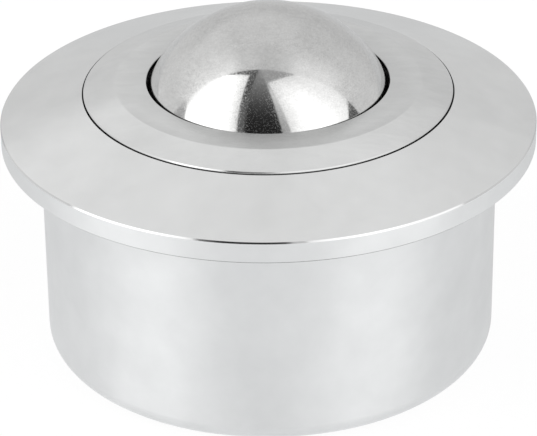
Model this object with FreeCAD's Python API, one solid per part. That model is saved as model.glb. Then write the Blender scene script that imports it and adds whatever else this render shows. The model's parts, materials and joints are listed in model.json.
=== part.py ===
import FreeCAD, Part
import math
import os

# A ball castor. A large load ball rolls on a crowd of small support balls in a hardened cup, and a
# cover ring with a wiper seal holds it down. The solid steel housing drops into a round hole and
# hangs on its flange. All lengths are in millimetres. The origin is the centre of the flat bottom,
# and +Z runs up the axis that every turned piece shares.

# Load ball, and the small balls that carry it
load_ball_diameter = 57.15
support_ball_diameter = 9.525
raceway_play = 0.12
support_ball_spacing = 0.3
crowd_headroom = 0.15

# Ball cup, a bowl of even wall that ends just above the middle of the load ball
cup_wall = 2.11
cup_rim_rise = 2.6
cup_rim_bevel = 0.3
cup_fit = 0.05

# Housing, with its heights stated from the inside out so that it always closes round the cup
floor_thickness = 9.2
body_wall = 9.5
bottom_corner_radius = 4.5
flange_overhang = 8.5
flange_rim_thickness = 4.7
flange_top_bevel = 0.25
flange_bottom_bevel = 0.25
ball_top_over_flange = 29.0

# Cover ring, which carries the flange's cone inwards and ends in a flat crown round the ball. Its
# outer edge stands a little over the flange beside it
crown_over_flange = 13.05
cover_seam_gap = 0.3
cover_cone_width = 6.7
cover_edge_rise = 0.2
cover_edge_bevel = 0.25
cover_edge_drop = 0.22
cover_foot_bevel = 0.4
cover_lip_bevel = 0.15
cover_ball_gap = 0.7

# Wiper seal, a felt ring in a groove under the cover's lip
seal_lip_thickness = 2.4
seal_height = 3.0
seal_width = 3.4
seal_groove_play = 0.05
seal_ball_gap = 0.15

# Snap ring, an open ring of round wire, half in the housing and half in the cover
snap_wire_diameter = 2.0
snap_ring_rise = 3.0
snap_ring_opening = 8.0
snap_groove_play = 0.1
snap_squeeze_room = 1.2

# Files for the support balls: each ball has one of its own, until those left over share the last
support_ball_files = 54

# Radii that follow from the sizes above, from the load ball outwards
load_ball_radius = load_ball_diameter / 2
support_ball_radius = support_ball_diameter / 2
crowd_radius = load_ball_radius + raceway_play + support_ball_radius
cup_inner_radius = crowd_radius + support_ball_radius + raceway_play
cup_outer_radius = cup_inner_radius + cup_wall
bore_radius = cup_outer_radius + cup_fit
body_radius = bore_radius + body_wall
flange_radius = body_radius + flange_overhang
cover_radius = bore_radius - cover_seam_gap
crease_radius = cover_radius - cover_cone_width
cavity_radius = load_ball_radius + cover_ball_gap

# Heights that follow, from the bottom upwards
ball_centre_height = floor_thickness + bore_radius
cup_rim_height = ball_centre_height + cup_rim_rise
flange_underside = ball_centre_height + load_ball_radius - ball_top_over_flange
rim_top_height = flange_underside + flange_rim_thickness
crown_height = flange_underside + crown_over_flange
seal_groove_top = crown_height - seal_lip_thickness
seal_groove_bottom = seal_groove_top - seal_height - 2 * seal_groove_play
snap_ring_height = cup_rim_height + snap_ring_rise

# Snap ring and its two grooves
snap_wire_radius = snap_wire_diameter / 2
snap_ring_radius = (cover_radius + bore_radius) / 2
snap_groove_top = snap_ring_height + snap_wire_radius + snap_groove_play
snap_groove_bottom = snap_ring_height - snap_wire_radius - snap_groove_play
housing_groove_radius = snap_ring_radius + snap_wire_radius + snap_groove_play
cover_groove_radius = snap_ring_radius - snap_wire_radius - snap_squeeze_room

axis_foot = FreeCAD.Vector(0, 0, 0)
up = FreeCAD.Vector(0, 0, 1)


def at(radius, height):
    """Point of a turned outline, given by its distance from the axis and its height."""
    return FreeCAD.Vector(radius, 0, height)


def straight(*points):
    """Straight edges through the points in order."""
    return [Part.LineSegment(a, b).toShape() for a, b in zip(points, points[1:])]


def arc_about(centre, radius, start, end):
    """Arc in the outline's plane about a centre, between two angles from the horizontal."""
    angles = (start, (start + end) / 2, end)
    points = [centre + at(radius * math.cos(a), radius * math.sin(a)) for a in angles]
    return Part.Arc(*points).toShape()


def arc_round_ball(radius, start_height, end_height):
    """Arc that shares the load ball's centre, between two heights."""
    centre = at(0, ball_centre_height)
    start = math.asin((start_height - ball_centre_height) / radius)
    end = math.asin((end_height - ball_centre_height) / radius)
    return arc_about(centre, radius, start, end)


def radius_round_ball(radius, height):
    """Distance from the axis, at a height, of a sphere that shares the load ball's centre."""
    return math.sqrt(radius ** 2 - (height - ball_centre_height) ** 2)


def cone_height(radius):
    """Height of the cone that the flange and the cover's outer band share."""
    slope = (crown_height - rim_top_height) / (flange_radius - crease_radius)
    return rim_top_height + slope * (flange_radius - radius)


def turned(edges, sweep=360):
    """Solid of revolution of a closed outline about the axis."""
    face = Part.Face(Part.Wire(edges))
    return face.revolve(axis_foot, up, sweep)


def make_housing():
    """Round body with a rounded bottom edge, a thin flange with a conical top, and a deep seat."""
    corner_centre = at(body_radius - bottom_corner_radius, bottom_corner_radius)
    bottom = straight(at(0, 0), at(body_radius - bottom_corner_radius, 0))
    corner = arc_about(corner_centre, bottom_corner_radius, -math.pi / 2, 0)
    outside = straight(
        at(body_radius, bottom_corner_radius),
        at(body_radius, flange_underside),
        at(flange_radius - flange_bottom_bevel, flange_underside),
        at(flange_radius, flange_underside + flange_bottom_bevel),
        at(flange_radius, rim_top_height - flange_top_bevel),
        at(flange_radius - flange_top_bevel, cone_height(flange_radius - flange_top_bevel)),
        at(bore_radius, cone_height(bore_radius)),
        at(bore_radius, snap_groove_top),
        at(housing_groove_radius, snap_groove_top),
        at(housing_groove_radius, snap_groove_bottom),
        at(bore_radius, snap_groove_bottom),
        at(bore_radius, ball_centre_height),
    )
    seat = arc_about(at(0, ball_centre_height), bore_radius, 0, -math.pi / 2)
    middle = straight(at(0, floor_thickness), at(0, 0))
    return turned(bottom + [corner] + outside + [seat] + middle)


def make_ball_cup():
    """Hardened bowl: half a sphere with a short straight skirt up to its rim."""
    centre = at(0, ball_centre_height)
    outer = arc_about(centre, cup_outer_radius, -math.pi / 2, 0)
    rim = straight(
        at(cup_outer_radius, ball_centre_height),
        at(cup_outer_radius, cup_rim_height - cup_rim_bevel),
        at(cup_outer_radius - cup_rim_bevel, cup_rim_height),
        at(cup_inner_radius + cup_rim_bevel, cup_rim_height),
        at(cup_inner_radius, cup_rim_height - cup_rim_bevel),
        at(cup_inner_radius, ball_centre_height),
    )
    inner = arc_about(centre, cup_inner_radius, 0, -math.pi / 2)
    pole = straight(
        at(0, ball_centre_height - cup_inner_radius),
        at(0, ball_centre_height - cup_outer_radius),
    )
    return turned([outer] + rim + [inner] + pole)


def seal_groove_radius():
    """Outer wall of the seal's groove: the ball at the seal's middle, its gap, and the felt."""
    middle = (seal_groove_top + seal_groove_bottom) / 2
    ball = radius_round_ball(load_ball_radius, middle)
    return ball + seal_ball_gap + seal_width + seal_groove_play


def make_cover_ring():
    """Turned ring: a foot on the cup's rim, the cone's inner band, a flat crown and a round cavity."""
    lip_height = crown_height - cover_lip_bevel
    lip_radius = radius_round_ball(cavity_radius, lip_height)
    edge_radius = cover_radius - cover_edge_bevel
    edge_height = cone_height(edge_radius) + cover_edge_rise
    outside = straight(
        at(radius_round_ball(cavity_radius, cup_rim_height), cup_rim_height),
        at(cover_radius - cover_foot_bevel, cup_rim_height),
        at(cover_radius, cup_rim_height + cover_foot_bevel),
        at(cover_radius, snap_groove_bottom),
        at(cover_groove_radius, snap_groove_bottom),
        at(cover_groove_radius, snap_groove_top),
        at(cover_radius, snap_groove_top),
        at(cover_radius, edge_height - cover_edge_drop),
        at(edge_radius, edge_height),
        at(crease_radius, crown_height),
        at(lip_radius + cover_lip_bevel, crown_height),
        at(lip_radius, lip_height),
    )
    lip = arc_round_ball(cavity_radius, lip_height, seal_groove_top)
    groove = straight(
        at(radius_round_ball(cavity_radius, seal_groove_top), seal_groove_top),
        at(seal_groove_radius(), seal_groove_top),
        at(seal_groove_radius(), seal_groove_bottom),
        at(radius_round_ball(cavity_radius, seal_groove_bottom), seal_groove_bottom),
    )
    cavity = arc_round_ball(cavity_radius, seal_groove_bottom, cup_rim_height)
    return turned(outside + [lip] + groove + [cavity])


def make_wiper_seal():
    """Felt ring whose inner face follows the load ball."""
    top = seal_groove_top - seal_groove_play
    bottom = seal_groove_bottom + seal_groove_play
    outer_radius = seal_groove_radius() - seal_groove_play
    wiping_radius = load_ball_radius + seal_ball_gap
    outside = straight(
        at(radius_round_ball(wiping_radius, bottom), bottom),
        at(outer_radius, bottom),
        at(outer_radius, top),
        at(radius_round_ball(wiping_radius, top), top),
    )
    return turned(outside + [arc_round_ball(wiping_radius, top, bottom)])


def make_snap_ring():
    """Open ring of round wire."""
    opening = math.degrees(snap_ring_opening / snap_ring_radius)
    section = Part.Circle(at(snap_ring_radius, snap_ring_height), FreeCAD.Vector(0, 1, 0), snap_wire_radius)
    return turned([section.toShape()], 360 - opening)


def make_load_ball():
    """The large ball."""
    return Part.makeSphere(load_ball_radius, at(0, ball_centre_height))


def turn_per_ball(ring_radius):
    """Angle that a support ball and its spacing take up on a ring of ball centres."""
    half_chord = (support_ball_diameter + support_ball_spacing) / 2
    return 2 * math.asin(half_chord / ring_radius)


def row_angles():
    """Angles of the rows from the pole under the load ball, up to the row just under the cover."""
    drop = support_ball_radius + crowd_headroom - cup_rim_rise
    top_angle = math.acos(drop / crowd_radius)
    row_count = math.floor(top_angle / turn_per_ball(crowd_radius))
    return [row * top_angle / row_count for row in range(row_count + 1)]


def row_centres(row, angle):
    """Centres of the support balls in one row; the first row is the single ball at the pole."""
    height = ball_centre_height - crowd_radius * math.cos(angle)
    if row == 0:
        return [at(0, height)]
    ring_radius = crowd_radius * math.sin(angle)
    count = math.floor(2 * math.pi / turn_per_ball(ring_radius))
    step = 2 * math.pi / count
    turns = [(number + (row % 2) / 2) * step for number in range(count)]
    return [FreeCAD.Vector(ring_radius * math.cos(t), ring_radius * math.sin(t), height) for t in turns]


def make_support_balls():
    """The crowd of small balls by name, from the pole upwards. The last balls share one name."""
    centres = [centre for row, angle in enumerate(row_angles()) for centre in row_centres(row, angle)]
    balls = [Part.makeSphere(support_ball_radius, centre) for centre in centres]
    files_of_one = support_ball_files - 1
    named = {"pivot_ball": balls[0]}
    for number, ball in enumerate(balls[1:files_of_one], start=1):
        named[f"support_ball_{number:02d}"] = ball
    upper_balls = balls[files_of_one:]
    if upper_balls:
        named["support_balls_upper"] = Part.makeCompound(upper_balls)
    return named


def make_all():
    """Every piece of the castor by its name."""
    pieces = {
        "housing": make_housing(),
        "ball_cup": make_ball_cup(),
        "cover_ring": make_cover_ring(),
        "wiper_seal": make_wiper_seal(),
        "snap_ring": make_snap_ring(),
        "load_ball": make_load_ball(),
    }
    pieces.update(make_support_balls())
    return pieces


os.makedirs("parts", exist_ok=True)
for name, shape in make_all().items():
    shape.exportStep(f"parts/{name}.step")
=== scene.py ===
"""Ball castor: the finish of every piece, modelled round the castor's own frame and lit in a white tent."""

import json
import math
from functools import reduce

import bmesh
import bpy
from bpy.props import FloatProperty, FloatVectorProperty, IntProperty, PointerProperty
from mathutils import Matrix, Vector


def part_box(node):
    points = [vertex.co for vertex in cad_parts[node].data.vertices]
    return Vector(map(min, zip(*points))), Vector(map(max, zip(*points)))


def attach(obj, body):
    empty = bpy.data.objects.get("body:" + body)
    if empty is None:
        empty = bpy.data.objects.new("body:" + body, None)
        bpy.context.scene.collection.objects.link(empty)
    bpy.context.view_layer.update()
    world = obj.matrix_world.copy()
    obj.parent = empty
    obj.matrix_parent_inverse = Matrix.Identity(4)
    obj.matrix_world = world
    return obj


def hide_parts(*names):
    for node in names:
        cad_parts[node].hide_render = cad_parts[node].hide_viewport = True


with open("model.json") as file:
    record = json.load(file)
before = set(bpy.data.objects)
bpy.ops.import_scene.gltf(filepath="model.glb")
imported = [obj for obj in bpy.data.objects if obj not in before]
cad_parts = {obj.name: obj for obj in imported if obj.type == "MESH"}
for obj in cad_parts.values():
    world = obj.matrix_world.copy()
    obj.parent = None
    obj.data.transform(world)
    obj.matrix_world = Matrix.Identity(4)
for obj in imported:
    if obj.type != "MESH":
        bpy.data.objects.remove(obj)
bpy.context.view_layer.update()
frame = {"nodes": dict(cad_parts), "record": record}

bl_info = {
    "name": "Ball castor",
    "version": (1, 0, 0),
    "blender": (4, 5, 0),
    "location": "View3D > Sidebar > Castor",
    "description": "Models and finishes the pieces of a flanged steel ball castor",
    "category": "Object",
}

MM = 0.001
SKIN = 0.01 * MM  # Room on each side of faces that are told apart by where they lie


def mount(name):
    """One of the castor's mounts by its name."""
    return next(m for m in frame["record"]["mounts"] if m["name"] == name)


def widest(node):
    """Largest radius of a turned node."""
    low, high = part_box(node)
    return max(high.x, high.y)


# Radii and heights that the frame gives, in metres
BALL_LOW, BALL_HIGH = (corner.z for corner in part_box("load_ball"))
BALL_RADIUS = (BALL_HIGH - BALL_LOW) / 2
BALL_CENTRE = (BALL_HIGH + BALL_LOW) / 2
BODY_RADIUS = mount("body")["dims"]["r_mm"] * MM
FLANGE_RADIUS = widest("housing")
FLANGE_UNDERSIDE = mount("flange_seat")["pos_m"][2]
COVER_RADIUS = widest("cover_ring")
CUP_RIM, CROWN = (corner.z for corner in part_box("cover_ring"))
CUP_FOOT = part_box("ball_cup")[0].z
CUP_RADIUS = widest("ball_cup")
SEAL_LOW, SEAL_HIGH = (corner.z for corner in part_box("wiper_seal"))
SEAL_RADIUS = widest("wiper_seal")
SNAP_LOW, SNAP_HIGH = (corner.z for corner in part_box("snap_ring"))
WIRE = SNAP_HIGH - SNAP_LOW

# Edges of the tent's cloths. Each is given by the direction that stands square to the plane through the
# castor and the edge, on the cloth's own side.
FRONT_EDGES = ((-0.090, -0.983, -0.158), (-0.179, -0.905, -0.370), (0.082, -0.969, -0.232))
LEFT_FLAP_EDGES = ((-0.878, 0.458, -0.127), (-0.300, -0.910, -0.285), (0.189, -0.873, 0.450))
RIGHT_FLAP_EDGES = ((0.888, 0.429, 0.167), (0.430, -0.838, -0.335), (-0.277, -0.747, 0.605))
HEM_EDGE = (0.947, 0.289, 0.143)
DRAPE_EDGE = (0.909, -0.414, 0.046)
PLEAT_EDGE = (-0.927, 0.367, -0.077)
EDGE_SOFTNESS = 0.012

LEFT_GLOW = (-0.878, 0.458, -0.139)  # The left flap grows brighter this way

# Directions on the castor: the side of the cover darkened by painted shade, the front, and the ball's clean
# patch
SHADED_SIDE = (0.6, 0.8, 0.0)
FRONT = (0.0, -1.0, 0.0)
CLEAN_PATCH = (-0.046, -0.771, 0.636)

# Bands on the cover's crown, across the tool's marks: where painted shade darkens the front, and how soon
# that ends
FRONT_SHADE_BAND = 2.6 * MM
FRONT_SHADE_END = 0.1 * MM


def length(name, description, millimetres, **more):
    """A length property with its default given in millimetres."""
    return FloatProperty(
        name=name, description=description, default=millimetres * MM, min=0,
        subtype="DISTANCE", unit="LENGTH", precision=5, **more)


def colour(name, description, value):
    """A colour property."""
    return FloatVectorProperty(
        name=name, description=description, default=value, size=3, min=0, max=1, subtype="COLOR")


def share(name, description, value):
    """A property from 0 to 1."""
    return FloatProperty(name=name, description=description, default=value, min=0, max=1, subtype="FACTOR")


class CastorTurning(bpy.types.PropertyGroup):
    """Sizes of the turned pieces that the frame's boxes don't give."""

    steps: IntProperty(name="Turning steps", description="Faces round each turned piece", default=384, min=24)
    corner_segments: IntProperty(
        name="Corner segments", description="Faces across the rounded bottom edge", default=12, min=1)
    bore_play: length("Bore play", "Gap between the cup and the housing's bore", 0.05)
    bottom_corner: length("Bottom corner", "Radius of the housing's bottom edge", 4.5)
    rim_thickness: length("Rim thickness", "Height of the flange's outer wall", 4.7)
    rim_top_bevel: length("Rim top bevel", "Width of the bevel on the flange's upper edge", 0.25)
    rim_bottom_bevel: length("Rim bottom bevel", "Width of the bevel under the flange's rim", 0.25)
    root_fillet: length("Root fillet", "Radius left by the tool between body and flange", 0.12)
    bore_edge_break: length("Bore edge break", "Bevel on the housing's upper inner edge", 0.08)
    crease_width: length("Cone band", "Width of the cover's outer cone", 6.7)
    cover_edge_bevel: length("Cover edge bevel", "Width of the bevel on the cover's outer edge", 0.25)
    cover_edge_drop: length("Cover edge drop", "Height of the bevel on the cover's outer edge", 0.22)
    cover_edge_rise: length(
        "Cover edge rise", "How far the cover's outer edge stands over the flange beside it", 0.2)
    # Painted shade: below this depth the faces inside the seam get dark steel.
    unshaded_depth: length("Clean depth", "How far down the faces inside the seam are free of oil", 0.3)
    cover_foot_bevel: length("Cover foot bevel", "Bevel under the cover's outer edge", 0.4)
    cover_lip_bevel: length("Cover lip bevel", "Bevel on the edge round the ball", 0.15)
    crease_rounding: length("Crease rounding", "Rounding between the cover's crown and its cone", 0.25)
    cover_ball_gap: length("Cover gap", "Gap between the cover and the ball", 0.7)
    seal_ball_gap: length("Seal gap", "Gap between the felt and the ball", 0.15)
    seal_play: length("Seal play", "Play of the felt in its groove", 0.05)
    seal_fluff: length("Seal rounding", "Rounding of the felt's edges", 0.25)
    cup_wall: length("Cup wall", "Thickness of the ball cup", 2.11)
    cup_bevel: length("Cup bevel", "Bevels on the cup's rim", 0.3)
    snap_play: length("Snap ring play", "Play of the snap ring in its groove", 0.1)
    snap_room: length("Snap ring room", "Room behind the snap ring when it is squeezed", 1.2)


class CastorFinish(bpy.types.PropertyGroup):
    """Colours and roughness of the castor's metals and felt."""

    housing_colour: colour("Housing steel", "Colour of the turned housing", (0.77, 0.775, 0.775))
    flange_colour: colour("Flange steel", "Colour of the flange's faced top", (0.80, 0.805, 0.803))
    wall_roughness: share("Wall roughness", "Roughness of the housing's turned outside", 0.42)
    flange_roughness: share("Flange roughness", "Roughness of the flange's faced top", 0.24)
    cover_colour: colour("Cover steel", "Colour of the cover ring", (0.772, 0.777, 0.774))
    cover_roughness: share("Cover roughness", "Roughness of the cover ring", 0.2)
    bevel_colour: colour("Bevel steel", "Colour of the bright cut bevels", (0.66, 0.663, 0.662))
    bevel_roughness: share("Bevel roughness", "Roughness of the bright cut bevels", 0.1)
    ball_colour: colour("Ball steel", "Colour of the polished load ball", (0.60, 0.60, 0.595))
    ball_roughness: share("Ball roughness", "Roughness of the polish between the scuffs", 0.05)
    scuffed_roughness: share("Scuffed roughness", "Roughness inside the ball's scuffs", 0.42)
    # Painted shade: dark steel inside the seams and in the cover's hollow round the ball.
    seam_shade_colour: colour(
        "Seam steel", "Colour of the oiled faces inside the seam round the cover", (0.06, 0.06, 0.06))
    # Painted shade: a dark line on the bevel under the flange's rim.
    under_edge_shade_colour: colour("Under edge", "Colour of the dulled edge under the flange's rim", (0.2, 0.2, 0.2))
    felt_colour: colour("Felt", "Colour of the oiled felt seal", (0.03, 0.03, 0.03))
    cup_colour: colour("Cup steel", "Colour of the hardened cup", (0.42, 0.41, 0.40))
    wire_colour: colour("Spring wire", "Colour of the snap ring", (0.36, 0.36, 0.37))
    small_ball_colour: colour("Support ball steel", "Colour of the support balls", (0.57, 0.57, 0.58))


class CastorStage(bpy.types.PropertyGroup):
    """Floor, surroundings and camera."""

    floor_radius: FloatProperty(
        name="Floor radius", description="Radius of the round floor", default=5.0, subtype="DISTANCE",
        unit="LENGTH")
    floor_drop: length("Floor drop", "How far the floor lies under the castor", 0.05)
    camera_distance: FloatProperty(
        name="Camera distance", description="From the middle of the flange to the lens",
        default=0.64587, subtype="DISTANCE", unit="LENGTH")
    camera_elevation: FloatProperty(
        name="Camera elevation", description="Angle of the lens over the flange",
        default=math.radians(26.7321), subtype="ANGLE", unit="ROTATION")
    camera_pitch: FloatProperty(
        name="Camera pitch", description="How far the camera looks down",
        default=math.radians(28.7767), subtype="ANGLE", unit="ROTATION")
    camera_yaw: FloatProperty(
        name="Camera yaw", description="How far the camera looks to the right",
        default=math.radians(-0.0207), subtype="ANGLE", unit="ROTATION")
    camera_roll: FloatProperty(
        name="Camera roll", description="How far the camera leans", default=math.radians(0.601),
        subtype="ANGLE", unit="ROTATION")
    lens: FloatProperty(name="Lens", description="Focal length in millimetres", default=197.89, min=1)


def cone_height(radius, turning):
    """Height of the cone that the flange and the cover's outer band share."""
    rim_top = FLANGE_UNDERSIDE + turning.rim_thickness
    crease = COVER_RADIUS - turning.crease_width
    slope = (CROWN - rim_top) / (FLANGE_RADIUS - crease)
    return rim_top + slope * (FLANGE_RADIUS - radius)


def radius_round_ball(radius, height):
    """Distance from the axis, at a height, of a sphere about the load ball's centre."""
    return math.sqrt(radius ** 2 - (height - BALL_CENTRE) ** 2)


def draw_run(bm, points, start=None):
    """Edges through points given as (radius, height), from a vertex if one is given. Returns the vertices."""
    verts = [bm.verts.new((radius, 0, height)) for radius, height in points]
    chain = ([start] if start else []) + verts
    for first, second in zip(chain, chain[1:]):
        bm.edges.new((first, second))
    return verts


def draw_arc(bm, start, end_height, segments):
    """Edges from a vertex along an arc about the load ball's centre to a height. Returns the last vertex."""
    radius = math.hypot(start.co.x, start.co.z - BALL_CENTRE)
    from_level = math.asin((start.co.z - BALL_CENTRE) / radius)
    to_level = math.asin(max(-1.0, (end_height - BALL_CENTRE) / radius))
    spun = bmesh.ops.spin(
        bm, geom=[start], cent=(0, 0, BALL_CENTRE), axis=(0, 1, 0), angle=from_level - to_level,
        steps=segments)
    return next(part for part in spun["geom_last"] if isinstance(part, bmesh.types.BMVert))


def round_off(bm, vert, width, segments=1):
    """Cuts a bevel, or with more segments a rounding, at one corner of an outline."""
    bmesh.ops.bevel(
        bm, geom=[vert], offset=width, offset_type="OFFSET", segments=segments, profile=0.5,
        affect="VERTICES", material=-1)


def turn_outline(bm, steps):
    """Turns the outline in the XZ plane round the castor's axis, and closes the poles."""
    bmesh.ops.spin(
        bm, geom=bm.verts[:] + bm.edges[:], cent=(0, 0, 0), axis=(0, 0, 1), angle=math.tau, steps=steps,
        use_merge=True)
    bmesh.ops.remove_doubles(bm, verts=bm.verts, dist=0.001 * MM)
    bmesh.ops.recalc_face_normals(bm, faces=bm.faces)


def finish_mesh(bm, name, materials, sharp_from=30):
    """Makes a piece of a bmesh: smooth faces, sharp edges from an angle, and its materials."""
    mesh = bpy.data.meshes.new(name)
    bm.to_mesh(mesh)
    bm.free()
    for polygon in mesh.polygons:
        polygon.use_smooth = True
    mesh.set_sharp_from_angle(angle=math.radians(sharp_from))
    for material in materials:
        mesh.materials.append(material)
    piece = bpy.data.objects.new(name, mesh)
    bpy.context.scene.collection.objects.link(piece)
    return piece


def even_normals(piece):
    """Keeps wide faces flat beside narrow bevels."""
    modifier = piece.modifiers.new("Even normals", "WEIGHTED_NORMAL")
    modifier.keep_sharp = True


def mark_ring(bm, index, radii, heights):
    """Gives a material index to the faces whose middle lies in a ring between two radii and heights."""
    for face in bm.faces:
        middle = face.calc_center_median()
        radius = math.hypot(middle.x, middle.y)
        if radii[0] < radius < radii[1] and heights[0] < middle.z < heights[1]:
            face.material_index = index


def add_node(tree, kind, inputs=None, **settings):
    """Adds a shader node, sets its properties, and gives each input a value or a link."""
    node = tree.nodes.new(kind)
    for name, value in settings.items():
        setattr(node, name, value)
    for key, value in (inputs or {}).items():
        if isinstance(value, bpy.types.NodeSocket):
            tree.links.new(value, node.inputs[key])
        else:
            node.inputs[key].default_value = value
    return node


def maths(tree, operation, *values):
    """Result of a Math node."""
    return add_node(tree, "ShaderNodeMath", dict(enumerate(values)), operation=operation).outputs[0]


def total(tree, *values):
    """Sum of values."""
    return reduce(lambda first, second: maths(tree, "ADD", first, second), values)


def product(tree, *values):
    """Product of values."""
    return reduce(lambda first, second: maths(tree, "MULTIPLY", first, second), values)


def all_of(tree, *masks):
    """Where every mask is on."""
    return reduce(lambda first, second: maths(tree, "MINIMUM", first, second), masks)


def any_of(tree, *masks):
    """Where at least one mask is on."""
    return reduce(lambda first, second: maths(tree, "MAXIMUM", first, second), masks)


def blend(tree, mask, first, second):
    """First value where the mask is off, second where it is on."""
    inputs = {0: mask, 2: first, 3: second}
    return add_node(tree, "ShaderNodeMix", inputs, data_type="FLOAT").outputs[0]


def vector_maths(tree, operation, *values):
    """Vector result of a Vector Math node."""
    node = add_node(tree, "ShaderNodeVectorMath", dict(enumerate(values)), operation=operation)
    return node.outputs["Value" if operation in ("LENGTH", "DOT_PRODUCT") else "Vector"]


def remap(tree, value, low, high, to_low=0.0, to_high=1.0, smooth=False):
    """Value spread from one range to another and held inside it."""
    inputs = {"Value": value, "From Min": low, "From Max": high, "To Min": to_low, "To Max": to_high}
    kind = "SMOOTHSTEP" if smooth else "LINEAR"
    return add_node(tree, "ShaderNodeMapRange", inputs, interpolation_type=kind).outputs["Result"]


def noise(tree, vector, scale, detail=2.0, roughness=0.5):
    """Strength of a noise pattern."""
    inputs = {"Vector": vector, "Scale": scale, "Detail": detail, "Roughness": roughness}
    return add_node(tree, "ShaderNodeTexNoise", inputs).outputs[0]


def mix_colours(tree, factor, first, second):
    """Blend of two colours, each a colour or a link."""
    node = add_node(tree, "ShaderNodeMix", data_type="RGBA")
    for index, value in ((0, factor), (6, first), (7, second)):
        if isinstance(value, bpy.types.NodeSocket):
            tree.links.new(value, node.inputs[index])
        elif index:
            node.inputs[index].default_value = (*value, 1.0)
        else:
            node.inputs[index].default_value = value
    return node.outputs[2]


def scaled_colour(value, factor):
    """A colour made lighter or darker."""
    return tuple(min(1.0, channel * factor) for channel in value)


def new_material(name):
    """An empty procedural material: its tree, its shader and its Object coordinates."""
    material = bpy.data.materials.new(name)
    material.use_nodes = True
    tree = material.node_tree
    coordinates = add_node(tree, "ShaderNodeTexCoord").outputs["Object"]
    return material, tree, tree.nodes["Principled BSDF"], coordinates


def lathe_coordinates(tree, coordinates):
    """Direction from the axis, and the place across the tool's marks on turned faces."""
    axes = add_node(tree, "ShaderNodeSeparateXYZ", {0: coordinates})
    flat = add_node(tree, "ShaderNodeCombineXYZ", {0: axes.outputs[0], 1: axes.outputs[1]}).outputs[0]
    radius = vector_maths(tree, "LENGTH", flat)
    outwards = vector_maths(tree, "NORMALIZE", flat)
    across = total(tree, radius, axes.outputs[2])
    return outwards, across


def tool_marks(tree, outwards, across, spacing, run):
    """Noise drawn out along the tool's path: fine across it, slow along it."""
    turned = add_node(tree, "ShaderNodeSeparateXYZ", {0: outwards})
    inputs = {
        0: product(tree, across, 1 / spacing),
        1: product(tree, turned.outputs[0], run),
        2: product(tree, turned.outputs[1], run),
    }
    vector = add_node(tree, "ShaderNodeCombineXYZ", inputs).outputs[0]
    return noise(tree, vector, 1.0, detail=3.0, roughness=0.6)


def tool_path(tree, outwards):
    """Direction along the tool's path, in the world's axes."""
    along = vector_maths(tree, "CROSS_PRODUCT", (0.0, 0.0, 1.0), outwards)
    node = add_node(
        tree, "ShaderNodeVectorTransform", {0: along}, vector_type="VECTOR", convert_from="OBJECT",
        convert_to="WORLD")
    return node.outputs[0]


def painted_shade_and_scuffs(tree, coordinates, across, base, shade, shade_and_scuffing, crown):
    """Colour darkened by painted shade on one side, round the ball and at the crown's front, and by drawn
    handling scuffs.
    """
    lip, crease = crown
    side = vector_maths(tree, "DOT_PRODUCT", coordinates, SHADED_SIDE)
    side_shade = remap(tree, side, -COVER_RADIUS / 2, COVER_RADIUS / 2, 0.0, shade_and_scuffing)
    drawn = add_node(
        tree, "ShaderNodeMapping", {0: coordinates, "Rotation": (0.0, 0.0, 0.5), "Scale": (1.0, 4.0, 1.0)})
    pattern = noise(tree, drawn.outputs[0], 1 / (5.0 * MM), detail=4.0, roughness=0.65)
    scuffs = remap(tree, pattern, 0.4, 0.66, -shade_and_scuffing / 4, shade_and_scuffing / 4)
    round_ball = remap(tree, across, lip, crease, shade_and_scuffing, 0.0)
    forward = vector_maths(tree, "DOT_PRODUCT", coordinates, FRONT)
    front_shade = product(
        tree, remap(tree, forward, COVER_RADIUS / 4, COVER_RADIUS / 2),
        remap(tree, across, crease, crease + FRONT_SHADE_END, 1.0, 0.0),
        remap(tree, across, crease - FRONT_SHADE_BAND, crease, 0.0, shade_and_scuffing * 1.3))
    darkened = total(tree, side_shade, scuffs, round_ball, front_shade)
    return mix_colours(tree, darkened, shade, scaled_colour(base, 0.5))


def turned_steel(
        name, base, roughness, anisotropy, mark_spacing, mark_depth, cloud_size, shade_and_scuffing=0.0, crown=None):
    """Fine turned steel: tool marks round the axis and a clouded polish. Painted shade and handling scuffs
    darken it in places.

    The crown's edges are given as radius plus height, in which tool marks are counted.
    """
    material, tree, shader, coordinates = new_material(name)
    outwards, across = lathe_coordinates(tree, coordinates)
    fine = tool_marks(tree, outwards, across, spacing=mark_spacing, run=1.6)
    broad = tool_marks(tree, outwards, across, spacing=1.3 * MM, run=2.2)
    cloud = noise(tree, coordinates, 1 / cloud_size, detail=4.0, roughness=0.55)
    marks = total(tree, product(tree, fine, 0.5), product(tree, broad, 0.5))
    shade = mix_colours(
        tree, remap(tree, cloud, 0.15, 0.85), scaled_colour(base, 0.94), scaled_colour(base, 1.05))
    if shade_and_scuffing:
        shade = painted_shade_and_scuffs(tree, coordinates, across, base, shade, shade_and_scuffing, crown)
    tree.links.new(shade, shader.inputs["Base Color"])
    rough = total(
        tree, remap(tree, marks, 0.1, 0.9, -0.01, 0.01), remap(tree, cloud, 0.15, 0.85, -0.02, 0.02),
        roughness)
    tree.links.new(rough, shader.inputs["Roughness"])
    bump = add_node(
        tree, "ShaderNodeBump", {"Height": marks, "Distance": mark_depth, "Strength": 1.0})
    tree.links.new(bump.outputs[0], shader.inputs["Normal"])
    tree.links.new(tool_path(tree, outwards), shader.inputs["Tangent"])
    shader.inputs["Metallic"].default_value = 1.0
    shader.inputs["Anisotropic"].default_value = anisotropy
    shader.inputs["Anisotropic Rotation"].default_value = 0.25
    return material


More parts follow.
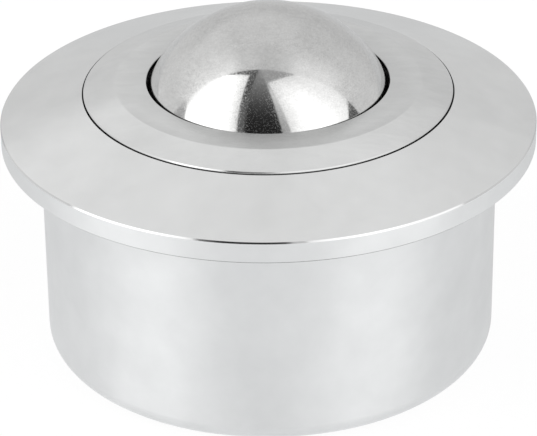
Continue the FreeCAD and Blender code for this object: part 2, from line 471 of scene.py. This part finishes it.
def bright_bevel(name, base, roughness):
    """A bevel cut last with a sharp tool: brighter and smoother than the faces beside it."""
    material, tree, shader, coordinates = new_material(name)
    outwards, across = lathe_coordinates(tree, coordinates)
    marks = tool_marks(tree, outwards, across, spacing=0.12 * MM, run=6.0)
    shade = mix_colours(tree, marks, scaled_colour(base, 0.96), scaled_colour(base, 1.06))
    tree.links.new(shade, shader.inputs["Base Color"])
    rough = remap(tree, marks, 0.3, 0.7, roughness * 0.8, roughness * 1.3)
    tree.links.new(rough, shader.inputs["Roughness"])
    shader.inputs["Metallic"].default_value = 1.0
    return material


def painted_shade_steel(name, base):
    """Painted shade: dark steel with a mottled film for faces inside the narrow seams and hollows, where
    shade falls.
    """
    material, tree, shader, coordinates = new_material(name)
    mottle = noise(tree, coordinates, 1 / (1.5 * MM), detail=3.0)
    shade = mix_colours(tree, mottle, scaled_colour(base, 0.7), scaled_colour(base, 1.3))
    tree.links.new(shade, shader.inputs["Base Color"])
    tree.links.new(remap(tree, mottle, 0.3, 0.7, 0.45, 0.6), shader.inputs["Roughness"])
    shader.inputs["Metallic"].default_value = 1.0
    return material


def scuffed_polish(name, base, roughness, scuffed_roughness):
    """Polished ball steel, hazed by fine scuffs where loads have rolled, but for a clean patch in front."""
    material, tree, shader, coordinates = new_material(name)
    centred = add_node(
        tree, "ShaderNodeMapping", {0: coordinates, "Location": (0.0, 0.0, -BALL_CENTRE)}).outputs[0]
    outwards = vector_maths(tree, "NORMALIZE", centred)
    height = add_node(tree, "ShaderNodeSeparateXYZ", {0: outwards}).outputs[2]
    drawn = add_node(
        tree, "ShaderNodeMapping", {0: centred, "Rotation": (0.3, 0.5, 0.0), "Scale": (1.0, 1.0, 2.2)})
    blotch = noise(tree, centred, 1 / (6.0 * MM), detail=5.0, roughness=0.65)
    streaks = noise(tree, drawn.outputs[0], 1 / (1.3 * MM), detail=3.0, roughness=0.6)
    fine = noise(tree, centred, 1 / (0.35 * MM), detail=1.0)
    specks = noise(tree, centred, 1 / (0.22 * MM), detail=1.0)
    grain = noise(tree, centred, 1 / (0.1 * MM), detail=1.0)

    from_clean = vector_maths(tree, "DOT_PRODUCT", outwards, CLEAN_PATCH)
    worn = product(
        tree, remap(tree, maths(tree, "MULTIPLY_ADD", blotch, 0.08, from_clean), 1.0, 0.90, smooth=True),
        remap(tree, height, 0.47, 0.60, smooth=True))
    clear_of_scuffs = remap(tree, streaks, 0.35, 0.65, 0.56, 0.44)
    scuffed = remap(tree, maths(tree, "SUBTRACT", grain, clear_of_scuffs), -0.04, 0.04)
    scuff = any_of(tree, product(tree, worn, scuffed), remap(tree, specks, 0.5, 0.68, 0.0, 0.55))
    rough = maths(tree, "MULTIPLY_ADD", scuff, scuffed_roughness - roughness, roughness)
    tree.links.new(rough, shader.inputs["Roughness"])

    tone = total(
        tree, product(tree, blotch, 0.35), product(tree, streaks, 0.45), product(tree, fine, 0.45), -0.125)
    shade = mix_colours(
        tree, remap(tree, tone, 0.35, 0.65), scaled_colour(base, 0.92), scaled_colour(base, 1.10))
    tree.links.new(shade, shader.inputs["Base Color"])
    shader.inputs["Metallic"].default_value = 1.0
    shader.inputs["Coat Weight"].default_value = 0.4
    shader.inputs["Coat Roughness"].default_value = 0.12
    return material


def plain_metal(name, base, roughness, grain_size):
    """A ground or drawn metal with a fine even grain."""
    material, tree, shader, coordinates = new_material(name)
    grain = noise(tree, coordinates, 1 / grain_size, detail=4.0, roughness=0.6)
    shade = mix_colours(tree, grain, scaled_colour(base, 0.85), scaled_colour(base, 1.1))
    tree.links.new(shade, shader.inputs["Base Color"])
    rough = remap(tree, grain, 0.3, 0.7, roughness * 0.8, roughness * 1.2)
    tree.links.new(rough, shader.inputs["Roughness"])
    shader.inputs["Metallic"].default_value = 1.0
    return material


def oiled_felt(name, base):
    """Dark pressed felt, matted and soft."""
    material, tree, shader, coordinates = new_material(name)
    fibres = noise(tree, coordinates, 1 / (0.3 * MM), detail=6.0, roughness=0.75)
    shade = mix_colours(tree, fibres, scaled_colour(base, 0.5), scaled_colour(base, 2.2))
    tree.links.new(shade, shader.inputs["Base Color"])
    bump = add_node(tree, "ShaderNodeBump", {"Height": fibres, "Distance": 0.1 * MM, "Strength": 1.0})
    tree.links.new(bump.outputs[0], shader.inputs["Normal"])
    shader.inputs["Roughness"].default_value = 0.9
    shader.inputs["Sheen Weight"].default_value = 0.2
    return material


def coat_node(node, material):
    """Gives a node of the frame its finish."""
    for slot in frame["nodes"][node].material_slots:
        slot.material = material


class CASTOR_OT_housing(bpy.types.Operator):
    """Turn the housing with its flange, bevels, bore and seat"""

    bl_idname = "castor.housing"
    bl_label = "Housing"

    def execute(self, context):
        turning = context.scene.castor_turning
        finish = context.scene.castor_finish
        bore = CUP_RADIUS + turning.bore_play
        groove_radius = (COVER_RADIUS + bore) / 2 + WIRE / 2 + turning.snap_play
        rim_top = FLANGE_UNDERSIDE + turning.rim_thickness
        shade_top = cone_height(bore, turning) - turning.unshaded_depth
        bm = bmesh.new()
        _, wall, root, under, over, mouth, *_, waist = draw_run(bm, [
            (0, 0),
            (BODY_RADIUS, 0),
            (BODY_RADIUS, FLANGE_UNDERSIDE),
            (FLANGE_RADIUS, FLANGE_UNDERSIDE),
            (FLANGE_RADIUS, rim_top),
            (bore, cone_height(bore, turning)),
            (bore, shade_top),
            (bore, SNAP_HIGH + turning.snap_play),
            (groove_radius, SNAP_HIGH + turning.snap_play),
            (groove_radius, SNAP_LOW - turning.snap_play),
            (bore, SNAP_LOW - turning.snap_play),
            (bore, BALL_CENTRE),
        ])
        draw_arc(bm, waist, BALL_CENTRE - bore, segments=24)
        round_off(bm, wall, turning.bottom_corner, turning.corner_segments)
        round_off(bm, root, turning.root_fillet, segments=2)
        round_off(bm, under, turning.rim_bottom_bevel)
        round_off(bm, over, turning.rim_top_bevel)
        round_off(bm, mouth, turning.bore_edge_break)
        turn_outline(bm, turning.steps)
        bevels, inside, outside, edge = range(1, 5)
        rim = (FLANGE_RADIUS - turning.rim_top_bevel - SKIN, FLANGE_RADIUS - SKIN)
        rim_wall_top = rim_top - turning.rim_top_bevel
        # Painted shade: the bore's faces from the seam down to the cup's foot get dark steel.
        mark_ring(bm, inside, (0, bore + SKIN), (CUP_FOOT, shade_top))
        mark_ring(bm, outside, (BODY_RADIUS - SKIN, FLANGE_RADIUS + SKIN), (0, rim_wall_top))
        mark_ring(bm, outside, (0, BODY_RADIUS), (-SKIN, turning.bottom_corner))
        mark_ring(bm, bevels, rim, (rim_wall_top, CROWN))
        # Painted shade: the bevel under the rim gets dark steel.
        mark_ring(bm, edge, rim, (0, FLANGE_UNDERSIDE + turning.rim_bottom_bevel))
        mark_ring(bm, bevels, (bore, bore + turning.bore_edge_break), (rim_top, CROWN))
        materials = [
            turned_steel(
                "turned_face", finish.flange_colour, finish.flange_roughness, anisotropy=0.5,
                mark_spacing=0.6 * MM, mark_depth=0.0003 * MM, cloud_size=9 * MM),
            bright_bevel("bright_bevel", finish.bevel_colour, finish.bevel_roughness),
            painted_shade_steel("painted_shade_bore", finish.seam_shade_colour),
            turned_steel(
                "turned_wall", finish.housing_colour, finish.wall_roughness, anisotropy=0.75,
                mark_spacing=0.22 * MM, mark_depth=0.0015 * MM, cloud_size=9 * MM),
            plain_metal("painted_under_edge_shade", finish.under_edge_shade_colour, roughness=0.4, grain_size=2.0 * MM),
        ]
        piece = finish_mesh(bm, "turned_housing", materials)
        even_normals(piece)
        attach(piece, "housing")
        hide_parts("housing")
        return {"FINISHED"}


class CASTOR_OT_cover_ring(bpy.types.Operator):
    """Turn the cover ring that holds the load ball down"""

    bl_idname = "castor.cover_ring"
    bl_label = "Cover ring"

    def execute(self, context):
        turning = context.scene.castor_turning
        finish = context.scene.castor_finish
        bore = CUP_RADIUS + turning.bore_play
        cavity = BALL_RADIUS + turning.cover_ball_gap
        lip_radius = radius_round_ball(cavity, CROWN)
        crease_radius = COVER_RADIUS - turning.crease_width
        edge_radius = COVER_RADIUS - turning.cover_edge_bevel
        edge_top = cone_height(edge_radius, turning) + turning.cover_edge_rise
        edge_foot = edge_top - turning.cover_edge_drop
        shade_top = edge_foot - turning.unshaded_depth
        groove_radius = (COVER_RADIUS + bore) / 2 - WIRE / 2 - turning.snap_room
        seal_groove = SEAL_RADIUS + turning.seal_play
        bm = bmesh.new()
        points = [
            (radius_round_ball(cavity, CUP_RIM), CUP_RIM),
            (COVER_RADIUS, CUP_RIM),
            (COVER_RADIUS, SNAP_LOW - turning.snap_play),
            (groove_radius, SNAP_LOW - turning.snap_play),
            (groove_radius, SNAP_HIGH + turning.snap_play),
            (COVER_RADIUS, SNAP_HIGH + turning.snap_play),
            (COVER_RADIUS, shade_top),
            (COVER_RADIUS, edge_foot),
            (edge_radius, edge_top),
            (crease_radius, CROWN),
            (lip_radius, CROWN),
        ]
        start, foot, *_, crease, lip = draw_run(bm, points)
        groove_top = SEAL_HIGH + turning.seal_play
        groove_bottom = SEAL_LOW - turning.seal_play
        above_seal = draw_arc(bm, lip, groove_top, segments=4)
        *_, below_seal = draw_run(bm, [
            (seal_groove, groove_top),
            (seal_groove, groove_bottom),
            (radius_round_ball(cavity, groove_bottom), groove_bottom),
        ], above_seal)
        end = draw_arc(bm, below_seal, CUP_RIM, segments=8)
        bmesh.ops.pointmerge(bm, verts=[start, end], merge_co=start.co)
        round_off(bm, foot, turning.cover_foot_bevel)
        round_off(bm, crease, turning.crease_rounding, segments=3)
        round_off(bm, lip, turning.cover_lip_bevel)
        turn_outline(bm, turning.steps)
        bevels, inside = 1, 2
        lip_foot = CROWN - turning.cover_lip_bevel
        mark_ring(bm, bevels, (edge_radius, COVER_RADIUS - SKIN), (edge_foot, edge_top))
        mark_ring(bm, bevels, (0, lip_radius + turning.cover_lip_bevel), (lip_foot - SKIN, CROWN - SKIN))
        # Painted shade: the cover's wall deep in the seam and its hollow round the ball get dark steel.
        mark_ring(bm, inside, (COVER_RADIUS - SKIN, COVER_RADIUS + SKIN), (CUP_RIM, shade_top))
        mark_ring(bm, inside, (0, seal_groove + SKIN), (CUP_RIM - SKIN, lip_foot))
        materials = [
            # Painted shade darkens the cover on one side, round the ball and at the crown's front; the drawn
            # scuffs are handling wear.
            turned_steel(
                "cover_steel", finish.cover_colour, finish.cover_roughness, anisotropy=0.6,
                mark_spacing=0.6 * MM, mark_depth=0.0006 * MM, cloud_size=6 * MM, shade_and_scuffing=0.16,
                crown=(lip_radius + CROWN, crease_radius + CROWN)),
            bright_bevel("cover_bevel", finish.bevel_colour, finish.bevel_roughness),
            painted_shade_steel("painted_shade_cover_wall", finish.seam_shade_colour),
        ]
        piece = finish_mesh(bm, "turned_cover", materials, sharp_from=12)
        even_normals(piece)
        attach(piece, "housing")
        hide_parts("cover_ring")
        return {"FINISHED"}


class CASTOR_OT_load_ball(bpy.types.Operator):
    """Make the polished load ball"""

    bl_idname = "castor.load_ball"
    bl_label = "Load ball"

    def execute(self, context):
        finish = context.scene.castor_finish
        bm = bmesh.new()
        bmesh.ops.create_icosphere(
            bm, subdivisions=6, radius=BALL_RADIUS, matrix=Matrix.Translation((0, 0, BALL_CENTRE)))
        polish = scuffed_polish(
            "polished_ball", finish.ball_colour, finish.ball_roughness, finish.scuffed_roughness)
        piece = finish_mesh(bm, "polished_load_ball", [polish], sharp_from=180)
        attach(piece, "load_ball")
        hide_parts("load_ball")
        return {"FINISHED"}


class CASTOR_OT_wiper_seal(bpy.types.Operator):
    """Make the felt ring that wipes the load ball"""

    bl_idname = "castor.wiper_seal"
    bl_label = "Wiper seal"

    def execute(self, context):
        turning = context.scene.castor_turning
        finish = context.scene.castor_finish
        wiping = BALL_RADIUS + turning.seal_ball_gap
        bm = bmesh.new()
        start, low, high, inner = draw_run(bm, [
            (radius_round_ball(wiping, SEAL_LOW), SEAL_LOW),
            (SEAL_RADIUS, SEAL_LOW),
            (SEAL_RADIUS, SEAL_HIGH),
            (radius_round_ball(wiping, SEAL_HIGH), SEAL_HIGH),
        ])
        end = draw_arc(bm, inner, SEAL_LOW, segments=6)
        bmesh.ops.pointmerge(bm, verts=[start, end], merge_co=start.co)
        for corner in (start, low, high, inner):
            round_off(bm, corner, turning.seal_fluff, segments=3)
        turn_outline(bm, turning.steps)
        felt = oiled_felt("wiper_felt", finish.felt_colour)
        piece = finish_mesh(bm, "felt_wiper", [felt], sharp_from=60)
        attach(piece, "housing")
        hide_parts("wiper_seal")
        return {"FINISHED"}


class CASTOR_OT_ball_cup(bpy.types.Operator):
    """Turn the hardened cup that the support balls roll in"""

    bl_idname = "castor.ball_cup"
    bl_label = "Ball cup"

    def execute(self, context):
        turning = context.scene.castor_turning
        finish = context.scene.castor_finish
        inner = CUP_RADIUS - turning.cup_wall
        bm = bmesh.new()
        outer_waist, outer_rim, inner_rim, inner_waist = draw_run(bm, [
            (CUP_RADIUS, BALL_CENTRE),
            (CUP_RADIUS, CUP_RIM),
            (inner, CUP_RIM),
            (inner, BALL_CENTRE),
        ])
        outer_pole = draw_arc(bm, outer_waist, CUP_FOOT, segments=32)
        inner_pole = draw_arc(bm, inner_waist, BALL_CENTRE - inner, segments=32)
        bm.edges.new((outer_pole, inner_pole))
        round_off(bm, outer_rim, turning.cup_bevel)
        round_off(bm, inner_rim, turning.cup_bevel)
        turn_outline(bm, turning.steps // 2)
        cup = plain_metal("hardened_cup", finish.cup_colour, roughness=0.3, grain_size=0.5 * MM)
        piece = finish_mesh(bm, "hardened_ball_cup", [cup])
        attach(piece, "housing")
        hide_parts("ball_cup")
        return {"FINISHED"}


class CASTOR_OT_small_parts(bpy.types.Operator):
    """Give the snap ring and the support balls their finishes"""

    bl_idname = "castor.small_parts"
    bl_label = "Snap ring and support balls"

    def execute(self, context):
        finish = context.scene.castor_finish
        wire = plain_metal("spring_wire", finish.wire_colour, roughness=0.35, grain_size=0.2 * MM)
        balls = plain_metal("bearing_balls", finish.small_ball_colour, roughness=0.06, grain_size=0.8 * MM)
        coat_node("snap_ring", wire)
        coat_node("pivot_ball", balls)
        for node in frame["record"]["behaviour"]["bodies"]["support_crowd"]:
            coat_node(node, balls)
        return {"FINISHED"}


def past_edge(tree, direction, edge, softness=EDGE_SOFTNESS):
    """1 where a direction lies on the cloth's side of an edge, 0 on the other, with a soft change between."""
    side = vector_maths(tree, "DOT_PRODUCT", direction, edge)
    return remap(tree, side, -softness, softness, smooth=True)


def tent_walls(tree, axes):
    """Brightness of the tent's sides, roof and back, brighter beside the flaps."""
    x, y, z = axes
    aside = maths(tree, "ABSOLUTE", x)
    sides = total(
        tree, remap(tree, x, -0.4, 0.35, 0.91, 0.76), remap(tree, x, 0.45, 0.85, 0.0, 0.10),
        remap(tree, x, -0.36, -0.46, 0.0, 0.05), remap(tree, x, -0.6, -0.9, 0.0, -0.07))
    overhead = product(tree, remap(tree, y, 0.42, 0.22), remap(tree, aside, 0.1, 0.3, -0.1, 0.0))
    roof = total(
        tree, remap(tree, aside, 0.26, 0.34, 0.88, 0.78), remap(tree, aside, 0.05, 0.15, -0.025, 0.0),
        remap(tree, x, -0.31, -0.4, 0.0, 0.12), overhead)
    high = all_of(tree, remap(tree, z, 0.5, 0.68), remap(tree, aside, 0.5, 0.38))
    low_sides = all_of(tree, remap(tree, aside, 0.33, 0.45), remap(tree, z, 0.36, 0.26))
    low_back = all_of(
        tree, remap(tree, y, 0.55, 0.85, smooth=True), remap(tree, z, 0.56, 0.36, smooth=True))
    back = blend(tree, low_sides, 0.70, remap(tree, x, -0.1, 0.1, 0.82, 0.70))
    walls = blend(tree, low_back, blend(tree, high, sides, roof), back)
    near_flaps = all_of(tree, remap(tree, y, 0.32, -0.02), remap(tree, z, 0.5, 0.7))
    glow = total(tree, remap(tree, x, 0.25, 0.4, 0.0, 0.35), remap(tree, x, -0.3, -0.45, 0.0, 0.22))
    return maths(tree, "MULTIPLY_ADD", near_flaps, glow, walls)


def tent_slit(tree, direction, axes):
    """Brightness between the flaps: a dark slit with folds and a pleat, and a lighter hem beside it."""
    x, _, z = axes
    hem = past_edge(tree, direction, HEM_EDGE)
    drape = past_edge(tree, direction, DRAPE_EDGE, 2 * EDGE_SOFTNESS)
    pleat = past_edge(tree, direction, PLEAT_EDGE, 3 * EDGE_SOFTNESS)
    height = maths(tree, "POWER", maths(tree, "MAXIMUM", z, 0.0), 6.2)
    folds = maths(tree, "MULTIPLY_ADD", height, blend(tree, drape, 0.07, 0.42), 0.018)
    slit = maths(tree, "MULTIPLY_ADD", pleat, remap(tree, z, 0.68, 0.9, 0.14, 0.06), folds)
    hem_light = blend(tree, remap(tree, z, 0.87, 0.94), remap(tree, z, 0.5, 0.82, 0.56, 0.92), 0.48)
    behind = blend(tree, hem, slit, hem_light)
    behind = blend(tree, remap(tree, z, 0.32, 0.22), behind, 1.0)
    behind = blend(tree, remap(tree, x, -0.7, -0.8), behind, 0.56)
    return blend(tree, remap(tree, x, 0.7, 0.8), behind, 0.11)


def tent_light(tree):
    """Brightness of a white tent by direction: two lit front flaps, a dark slit between them, pale walls."""
    direction = add_node(tree, "ShaderNodeTexCoord").outputs["Generated"]
    axes = add_node(tree, "ShaderNodeSeparateXYZ", {0: direction}).outputs
    y = axes[1]
    front = any_of(tree, *(past_edge(tree, direction, edge) for edge in FRONT_EDGES))
    left_flap = all_of(tree, *(past_edge(tree, direction, edge) for edge in LEFT_FLAP_EDGES))
    right_flap = all_of(tree, *(past_edge(tree, direction, edge) for edge in RIGHT_FLAP_EDGES))
    walls = tent_walls(tree, axes)
    left_glow = remap(tree, vector_maths(tree, "DOT_PRODUCT", direction, LEFT_GLOW), 0.0, 0.3, 1.25, 2.3)
    past_hem = vector_maths(tree, "DOT_PRODUCT", direction, RIGHT_FLAP_EDGES[0])
    right_glow = blend(
        tree, remap(tree, y, -0.25, -0.6), remap(tree, past_hem, 0.3, 0.7, 1.15, 1.5),
        remap(tree, past_hem, 0.0, 0.45, 1.25, 2.3))
    left_light = blend(tree, remap(tree, y, 0.06, -0.12, smooth=True), walls, left_glow)
    right_light = blend(tree, remap(tree, y, 0.14, -0.10, smooth=True), walls, right_glow)
    inside = blend(tree, left_flap, tent_slit(tree, direction, axes), left_light)
    inside = blend(tree, right_flap, inside, right_light)
    return blend(tree, front, walls, inside)


def make_world(context):
    """White for the camera, and the tent for everything that the castor's metal shows."""
    world = bpy.data.worlds.new("white_tent")
    context.scene.world = world
    world.use_nodes = True
    tree = world.node_tree
    background = tree.nodes["Background"]
    rays = add_node(tree, "ShaderNodeLightPath").outputs
    tent = tent_light(tree)
    on_matt = product(tree, tent, 0.8)
    mirrored = any_of(tree, rays["Is Glossy Ray"], rays["Is Transmission Ray"])
    strength = blend(tree, rays["Is Camera Ray"], blend(tree, mirrored, on_matt, tent), 1.0)
    background.inputs["Color"].default_value = (1.0, 1.0, 1.0, 1.0)
    tree.links.new(strength, background.inputs["Strength"])


def painted_floor_light(tree, coordinates):
    """Painted brightness of the floor by place, as the metal mirrors it: painted light towards the front, a
    painted shadow close round the castor, and painted lighter and darker patches at the sides.
    """
    x, y, _ = add_node(tree, "ShaderNodeSeparateXYZ", {0: coordinates}).outputs
    right_painted_shade = all_of(
        tree, remap(tree, x, 0.045, 0.07), remap(tree, x, 0.12, 0.10), remap(tree, y, -0.05, -0.025))
    left_front_painted_shade = all_of(tree, remap(tree, x, -0.06, -0.09), remap(tree, y, -0.045, -0.065))
    return product(
        tree,
        remap(tree, y, -0.05, 0.2, 1.10, 0.68),
        remap(tree, vector_maths(tree, "LENGTH", coordinates), 0.05, 0.15, 0.95, 1.05),
        remap(tree, x, 0.0, 0.05, 1.0, 0.965),
        remap(tree, x, 0.1, 0.135, 1.0, 1.055),
        remap(tree, x, -0.12, 0.0, 0.975, 1.0),
        blend(tree, right_painted_shade, 1.0, 0.95),
        blend(tree, left_front_painted_shade, 1.0, 0.955))


def pale_floor():
    """Pale matt floor, seen white by the camera and with painted light and shadow by the metal, with a light
    shadow of the castor kept.
    """
    material, tree, shader, coordinates = new_material("pale_floor")
    rays = add_node(tree, "ShaderNodeLightPath").outputs
    seen = any_of(tree, rays["Is Camera Ray"], rays["Is Glossy Ray"], rays["Is Transmission Ray"])
    grain = noise(tree, coordinates, 6.0, detail=3.0)
    matt = mix_colours(tree, grain, (0.79, 0.79, 0.79), (0.81, 0.81, 0.81))
    tree.links.new(matt, shader.inputs["Base Color"])
    shader.inputs["Roughness"].default_value = 1.0
    shader.inputs["Specular IOR Level"].default_value = 0.0
    # The metal sees the floor's painted light and shadow; the camera sees it white.
    strength = blend(tree, rays["Is Camera Ray"], painted_floor_light(tree, coordinates), 1.1)
    tint = mix_colours(tree, rays["Is Camera Ray"], (0.99, 1.0, 1.01), (1.0, 1.0, 1.0))
    white = add_node(tree, "ShaderNodeEmission", {"Color": tint, "Strength": strength}).outputs[0]
    white_share = product(tree, seen, 0.8)
    mixed = add_node(tree, "ShaderNodeMixShader", {0: white_share, 1: shader.outputs[0], 2: white})
    tree.links.new(mixed.outputs[0], tree.nodes["Material Output"].inputs["Surface"])
    return material


def make_floor(stage):
    """Round floor just under the castor."""
    bm = bmesh.new()
    bmesh.ops.create_circle(
        bm, cap_ends=True, segments=96, radius=stage.floor_radius,
        matrix=Matrix.Translation((0, 0, -stage.floor_drop)))
    floor = finish_mesh(bm, "floor", [pale_floor()])


def make_camera(context, stage):
    """Camera at the photograph's place and angle."""
    data = bpy.data.cameras.new("camera")
    data.sensor_width = 36.0
    data.lens = stage.lens
    data.clip_start = 0.01
    data.clip_end = 50.0
    camera = bpy.data.objects.new("camera", data)
    context.scene.collection.objects.link(camera)
    turning = context.scene.castor_turning
    aim = FLANGE_UNDERSIDE + turning.rim_thickness
    distance, elevation = stage.camera_distance, stage.camera_elevation
    place = Vector((0, -distance * math.cos(elevation), distance * math.sin(elevation) + aim))
    pitch, yaw = stage.camera_pitch, stage.camera_yaw
    forward = Vector((math.sin(yaw) * math.cos(pitch), math.cos(yaw) * math.cos(pitch), -math.sin(pitch)))
    right = forward.cross(Vector((0, 0, 1))).normalized()
    down = forward.cross(right)
    roll = stage.camera_roll
    across = math.cos(roll) * right + math.sin(roll) * down
    upwards = math.sin(roll) * right - math.cos(roll) * down
    turn = Matrix((across, upwards, -forward)).transposed().to_4x4()
    camera.matrix_world = Matrix.Translation(place) @ turn
    context.scene.camera = camera


class CASTOR_OT_stage(bpy.types.Operator):
    """Make the floor, the white tent and the camera"""

    bl_idname = "castor.stage"
    bl_label = "Stage"

    def execute(self, context):
        stage = context.scene.castor_stage
        make_floor(stage)
        make_world(context)
        make_camera(context, stage)
        context.scene.view_settings.view_transform = "Standard"
        return {"FINISHED"}


class CASTOR_PT_panel(bpy.types.Panel):
    """Lists the castor's sizes, finishes and operators"""

    bl_idname = "CASTOR_PT_panel"
    bl_label = "Ball castor"
    bl_space_type = "VIEW_3D"
    bl_region_type = "UI"
    bl_category = "Castor"

    def draw(self, context):
        scene = context.scene
        for group in (scene.castor_turning, scene.castor_finish, scene.castor_stage):
            box = self.layout.box()
            for name in group.__annotations__:
                box.prop(group, name)
        for operator in OPERATORS:
            self.layout.operator(operator.bl_idname)


OPERATORS = (
    CASTOR_OT_housing,
    CASTOR_OT_cover_ring,
    CASTOR_OT_load_ball,
    CASTOR_OT_wiper_seal,
    CASTOR_OT_ball_cup,
    CASTOR_OT_small_parts,
    CASTOR_OT_stage,
)
CLASSES = (CastorTurning, CastorFinish, CastorStage, *OPERATORS, CASTOR_PT_panel)


def register():
    """Registers the classes and hangs the settings on the scene."""
    for cls in CLASSES:
        bpy.utils.register_class(cls)
    bpy.types.Scene.castor_turning = PointerProperty(type=CastorTurning)
    bpy.types.Scene.castor_finish = PointerProperty(type=CastorFinish)
    bpy.types.Scene.castor_stage = PointerProperty(type=CastorStage)


def unregister():
    """Takes the settings and classes away again."""
    del bpy.types.Scene.castor_stage
    del bpy.types.Scene.castor_finish
    del bpy.types.Scene.castor_turning
    for cls in reversed(CLASSES):
        bpy.utils.unregister_class(cls)


def main():
    """Builds every piece and the stage."""
    register()
    bpy.ops.castor.housing()
    bpy.ops.castor.cover_ring()
    bpy.ops.castor.load_ball()
    bpy.ops.castor.wiper_seal()
    bpy.ops.castor.ball_cup()
    bpy.ops.castor.small_parts()
    bpy.ops.castor.stage()


if __name__ == "__main__":
    main()
